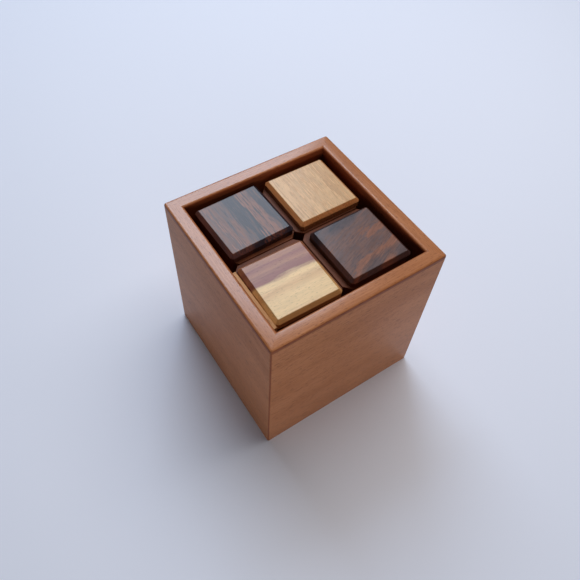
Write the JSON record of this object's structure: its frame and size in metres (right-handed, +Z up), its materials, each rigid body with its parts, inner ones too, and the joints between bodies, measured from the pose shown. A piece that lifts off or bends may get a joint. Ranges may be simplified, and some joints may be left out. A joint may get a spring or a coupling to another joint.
{
  "type": "wooden puzzle box",
  "caption": "Open cube-shaped hardwood box with mitred walls, holding four square wooden blocks with bevelled caps that stand two by two and lift out through the open top.",
  "frame": {"origin": "middle of the underside of the box", "axes": "+Z up out of the open top, front wall at -Y, left wall at -X"},
  "size_m": [0.09, 0.09, 0.091],
  "materials": {
    "box_hardwood": "satin",
    "panel_hardwood": "satin",
    "slip_hardwood": "satin",
    "block_hardwood": "satin",
    "two_tone_cap_wood": "satin",
    "dark_cap_wood_right": "satin",
    "dark_cap_wood_left": "satin",
    "sapwood_cap_wood": "satin"
  },
  "bodies": {
    "box": {"front_wall": "box_hardwood", "left_wall": "box_hardwood", "back_wall": "box_hardwood", "right_wall": "box_hardwood", "bottom_panel": "panel_hardwood", "left_wall_slip": "slip_hardwood"},
    "front_left_block": {"front_left_block": "block_hardwood", "front_left_cap": "two_tone_cap_wood"},
    "front_right_block": {"front_right_block": "block_hardwood", "front_right_cap": "dark_cap_wood_right"},
    "back_left_block": {"back_left_block": "block_hardwood", "back_left_cap": "dark_cap_wood_left"},
    "back_right_block": {"back_right_block": "block_hardwood", "back_right_cap": "sapwood_cap_wood"}
  },
  "joints": [
    {"name": "front_left_lift", "type": "slide", "parent": "box", "child": "front_left_block", "axis": [0, 0, 1], "range_m": [0, 0.095]},
    {"name": "front_right_lift", "type": "slide", "parent": "box", "child": "front_right_block", "axis": [0, 0, 1], "range_m": [0, 0.095]},
    {"name": "back_left_lift", "type": "slide", "parent": "box", "child": "back_left_block", "axis": [0, 0, 1], "range_m": [0, 0.095]},
    {"name": "back_right_lift", "type": "slide", "parent": "box", "child": "back_right_block", "axis": [0, 0, 1], "range_m": [0, 0.095]}
  ]
}
